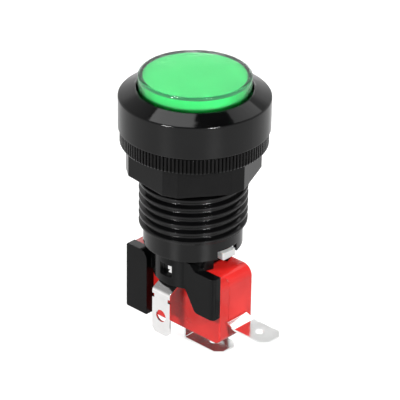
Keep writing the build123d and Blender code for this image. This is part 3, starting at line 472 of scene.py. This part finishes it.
finish_of_node = {
    "housing": gloss_black,
    "nut": nut_black,
    "lamp_holder": satin_black,
    "cap": cap_green,
    "diffuser": diffuser_white,
    "plunger": plunger_white,
    "return_spring": spring_steel,
    "lamp_base": lamp_white,
    "led": led_clear,
    "lamp_leads": lead_tin,
    "lamp_contact_front": contact_tin,
    "lamp_contact_back": contact_tin,
    "switch_case": switch_red,
    "switch_cover": switch_red,
    "switch_pin": pin_black,
    "snap_blade": blade_copper,
    "moving_contact": contact_silver,
    "fixed_contact": contact_silver,
    "com_terminal": terminal_tin,
    "no_terminal": terminal_tin,
}
for name, finish in finish_of_node.items():
    for slot in nodes[name].material_slots:
        slot.material = finish


# Return spring: a copy of the coil, fixed to the housing

MERGE_DISTANCE = 0.001 * MM


def make_folding_spring():
    """Stands for the rigid coil: stays on its seat in the barrel as the plunger comes down on it."""
    bpy.ops.object.select_all(action="DESELECT")
    coil = bpy.data.objects.new("folding_spring", nodes["return_spring"].data.copy())
    bpy.context.scene.collection.objects.link(coil)
    coil.select_set(True)
    bpy.context.view_layer.objects.active = coil
    bpy.ops.object.mode_set(mode="EDIT")
    bpy.ops.mesh.select_all(action="SELECT")
    bpy.ops.mesh.remove_doubles(threshold=MERGE_DISTANCE)
    bpy.ops.mesh.normals_make_consistent(inside=False)
    bpy.ops.object.mode_set(mode="OBJECT")
    bpy.ops.object.shade_smooth()
    coil.select_set(False)
    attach(coil, "housing_body")
    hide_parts("return_spring")
    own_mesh(coil)


make_folding_spring()


# Floor: pale, white to the camera and a light grey to gloss

FLOOR_SIZE = 6
FLOOR_GAP = 0.15 * MM
FLOOR_GREY = (0.2, 0.2, 0.2)
FLOOR_ROUGHNESS = 0.3
FLOOR_GLOW_SEEN = 0.88
FLOOR_GLOW_MIRRORED = 0.66


def make_floor_white():
    material, tree, shader = start_finish("floor_white", FLOOR_GREY, Roughness=FLOOR_ROUGHNESS)
    path = tree.nodes.new("ShaderNodeLightPath").outputs
    mirrored = add_math(tree, "MULTIPLY", path["Is Glossy Ray"], FLOOR_GLOW_MIRRORED)
    strength = add_math(tree, "MULTIPLY_ADD", path["Is Camera Ray"], FLOOR_GLOW_SEEN, mirrored)
    glow = tree.nodes.new("ShaderNodeEmission")
    tree.links.new(strength, glow.inputs["Strength"])
    total = tree.nodes.new("ShaderNodeAddShader")
    tree.links.new(shader.outputs["BSDF"], total.inputs[0])
    tree.links.new(glow.outputs["Emission"], total.inputs[1])
    tree.links.new(total.outputs["Shader"], tree.nodes["Material Output"].inputs["Surface"])
    return material


def make_floor():
    """A plane just under the lowest tab."""
    floor_height = cad_bounds[0][2] - FLOOR_GAP
    bpy.ops.mesh.primitive_plane_add(size=FLOOR_SIZE, location=(0, 0, floor_height))
    floor = bpy.context.object
    floor.name = "floor"
    bpy.ops.object.transform_apply(location=True, rotation=True, scale=True)
    floor.select_set(False)
    floor.data.materials.append(make_floor_white())


make_floor()


# World: plain white to the camera and through clear plastic, dim as a light, banded as a mirror image.
# Heights in it are sines of the angle above the horizon.

WORLD_LIGHT = 0.27
WHITE = (1, 1, 1)
CEILING_DARK = (0.02, 0.02, 0.021)
SWEEP_TOP = 0.4
CEILING_START = 0.89
GREY_BANDS = {0.45: 0.92, 0.52: 0.6, 0.68: 0.5, 0.79: 0.38}


def add_background(tree, colour, strength=1):
    background = tree.nodes.new("ShaderNodeBackground")
    feed(tree, background.inputs["Color"], colour)
    background.inputs["Strength"].default_value = strength
    return background.outputs["Background"]


def mirrored_studio(tree):
    """A white sweep near the horizon, greys above it and a dark ceiling."""
    ramp = tree.nodes.new("ShaderNodeValToRGB")
    sweep, ceiling = ramp.color_ramp.elements
    sweep.position = SWEEP_TOP
    sweep.color = (*WHITE, 1)
    ceiling.position = CEILING_START
    ceiling.color = (*CEILING_DARK, 1)
    for height, grey in GREY_BANDS.items():
        band = ramp.color_ramp.elements.new(height)
        band.color = (grey, grey, grey, 1)
    direction = tree.nodes.new("ShaderNodeTexCoord").outputs["Generated"]
    tree.links.new(add_split(tree, direction)["Z"], ramp.inputs["Fac"])
    return add_background(tree, ramp.outputs["Color"])


def light_world():
    world = bpy.data.worlds.new("studio")
    bpy.context.scene.world = world
    world.use_nodes = True
    tree = world.node_tree
    tree.nodes.clear()
    soft = add_background(tree, (*WHITE, 1), WORLD_LIGHT)
    plain = add_background(tree, (*WHITE, 1))
    path = tree.nodes.new("ShaderNodeLightPath").outputs
    lit = mix_shaders(tree, path["Is Glossy Ray"], soft, mirrored_studio(tree))
    seen = add_math(tree, "MAXIMUM", path["Is Camera Ray"], path["Is Transmission Ray"])
    total = mix_shaders(tree, seen, lit, plain)
    tree.links.new(total, tree.nodes.new("ShaderNodeOutputWorld").inputs["Surface"])


light_world()


# Softboxes, each placed by its bearing from the camera's side of the object, in degrees and metres

LAMP_DISTANCE = 0.7
LAMP_AIM = Vector((0, 0, -15 * MM))


def add_softbox(name, side_angle, height_angle, width, height, power, lights_matt=True):
    azimuth = VIEW_AZIMUTH - math.pi / 2 + math.radians(side_angle)
    tilt = math.radians(height_angle)
    level = Vector((math.cos(azimuth), math.sin(azimuth), 0))
    bearing = level * math.cos(tilt) + Vector((0, 0, math.sin(tilt)))
    lamp = bpy.data.lights.new(name, "AREA")
    lamp.shape = "RECTANGLE"
    lamp.size = width
    lamp.size_y = height
    lamp.energy = power
    box = bpy.data.objects.new(name, lamp)
    turn = bearing.to_track_quat("Z", "Y").to_matrix().to_4x4()
    box.matrix_world = Matrix.Translation(LAMP_AIM + bearing * LAMP_DISTANCE) @ turn
    box.visible_diffuse = lights_matt
    bpy.context.scene.collection.objects.link(box)


add_softbox("left_softbox", side_angle=-42, height_angle=34, width=0.17, height=0.06, power=5)
add_softbox("right_softbox", side_angle=30, height_angle=34, width=0.17, height=0.06, power=6.8)
add_softbox("low_back_softbox", side_angle=180, height_angle=22.1, width=0.3, height=0.1, power=0.5)
add_softbox("top_softbox", side_angle=-137, height_angle=70, width=0.24, height=0.3, power=0.85,
            lights_matt=False)
add_softbox("back_softbox", side_angle=145, height_angle=50, width=0.3, height=0.3, power=0.36,
            lights_matt=False)
